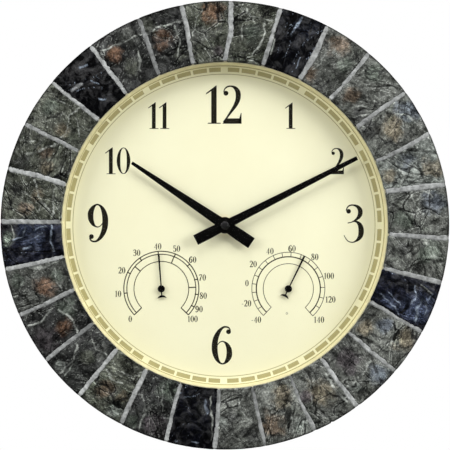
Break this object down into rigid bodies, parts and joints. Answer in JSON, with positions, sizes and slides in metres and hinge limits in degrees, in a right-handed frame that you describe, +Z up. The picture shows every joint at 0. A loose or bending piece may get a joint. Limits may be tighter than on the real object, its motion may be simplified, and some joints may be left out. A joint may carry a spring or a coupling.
{
  "type": "wall clock with thermometer and hygrometer",
  "caption": "Round wall clock in a slate-block frame, cream dial with hour and minute hands, small thermometer and hygrometer dials below, quartz movement behind.",
  "frame": {"origin": "where the hands' axis meets the wall plane", "axes": "+X to the right seen from the front, +Y from the dial towards the wall, +Z up; the dial looks along -Y"},
  "size_m": [0.3556, 0.042, 0.3556],
  "materials": {
    "slate": "riven, satin",
    "glass": "clear, polished",
    "gilt_ring": "pale gilt, satin",
    "dial_face": "cream print, matt",
    "pan_plastic": "black, moulded",
    "zinc_steel": "zinc plated",
    "movement_plastic": "black, moulded",
    "brass": "machined",
    "motor_iron": "bare, rolled",
    "bobbin_plastic": "natural, moulded",
    "copper_wire": "enamelled copper",
    "board": "green lacquer",
    "nickel": "nickel plated",
    "battery_wrap": "plain wrap",
    "wheel_plastic": "white, moulded",
    "magnet": "sintered",
    "hand_black": "black, matt",
    "cap_black": "black, bright",
    "bimetal": "rolled strip",
    "humidity_strip": "rolled strip, lined"
  },
  "bodies": {
    "clock": {"slate_frame": "slate", "lens": "glass", "dial_spacer_ring": "gilt_ring", "dial_plate": "dial_face", "back_pan": "pan_plastic", "pan_screws": "zinc_steel", "hanger_plate": "zinc_steel", "hanger_screws": "zinc_steel", "movement_case": "movement_plastic", "movement_cover": "movement_plastic", "bushing_nut": "brass", "stator": "motor_iron", "coil_core": "motor_iron", "coil_bobbin": "bobbin_plastic", "coil_winding": "copper_wire", "circuit_board": "board", "quartz_crystal": "nickel", "battery_contact_positive": "nickel", "battery_contact_negative": "nickel", "thermometer_cup": "movement_plastic", "thermometer_coil": "bimetal", "hygrometer_cup": "movement_plastic", "hygrometer_coil": "humidity_strip"},
    "minute_train": {"centre_wheel": "wheel_plastic", "minute_arbor": "brass", "minute_hand": "hand_black", "hand_cap_nut": "cap_black"},
    "hour_train": {"hour_wheel": "wheel_plastic", "hour_hand": "hand_black"},
    "minute_work": {"minute_work_wheel": "wheel_plastic"},
    "knob": {"set_knob": "wheel_plastic"},
    "intermediate": {"intermediate_wheel": "wheel_plastic"},
    "rotor": {"rotor_pinion": "wheel_plastic", "rotor_magnet": "magnet"},
    "thermometer_needle": {"thermometer_arbor": "brass", "thermometer_pointer": "hand_black"},
    "hygrometer_needle": {"hygrometer_arbor": "brass", "hygrometer_pointer": "hand_black"},
    "battery": {"aa_battery": "battery_wrap"}
  },
  "joints": [
    {"name": "minute_hand_turn", "type": "hinge", "parent": "clock", "child": "minute_train", "pos_m": [0, 0, 0], "axis": [0, 1, 0], "continuous": true},
    {"name": "hour_hand_turn", "type": "hinge", "parent": "clock", "child": "hour_train", "pos_m": [0, 0, 0], "axis": [0, 1, 0], "continuous": true},
    {"name": "minute_work_turn", "type": "hinge", "parent": "clock", "child": "minute_work", "pos_m": [-0.00709, 0, -0.00125], "axis": [0, 1, 0], "continuous": true},
    {"name": "set_knob_turn", "type": "hinge", "parent": "clock", "child": "knob", "pos_m": [-0.01333, 0, 0.00235], "axis": [0, 1, 0], "continuous": true},
    {"name": "intermediate_turn", "type": "hinge", "parent": "clock", "child": "intermediate", "pos_m": [-0.00143, 0, 0.00812], "axis": [0, 1, 0], "continuous": true},
    {"name": "rotor_turn", "type": "hinge", "parent": "clock", "child": "rotor", "pos_m": [-0.00518, 0, 0.01462], "axis": [0, 1, 0], "continuous": true},
    {"name": "thermometer_turn", "type": "hinge", "parent": "clock", "child": "thermometer_needle", "pos_m": [0.0506, 0, -0.0506], "axis": [0, 1, 0], "range_deg": [-163.1, 111.9], "stiffness_Nm_per_rad": 0.0006, "deforming": ["thermometer_coil"]},
    {"name": "hygrometer_turn", "type": "hinge", "parent": "clock", "child": "hygrometer_needle", "pos_m": [-0.0506, 0, -0.0506], "axis": [0, 1, 0], "range_deg": [-129.6, 138.4], "stiffness_Nm_per_rad": 0.0006, "deforming": ["hygrometer_coil"]},
    {"name": "battery_slide", "type": "slide", "parent": "clock", "child": "battery", "axis": [0, 1, 0], "range_m": [0, 0.03]}
  ],
  "couplings": [
    {"joint": "hour_hand_turn", "follows": "minute_hand_turn", "ratio": 0.083333},
    {"joint": "minute_work_turn", "follows": "minute_hand_turn", "ratio": -0.33333},
    {"joint": "set_knob_turn", "follows": "minute_hand_turn", "ratio": 1},
    {"joint": "intermediate_turn", "follows": "minute_hand_turn", "ratio": -10},
    {"joint": "rotor_turn", "follows": "minute_hand_turn", "ratio": 90}
  ]
}
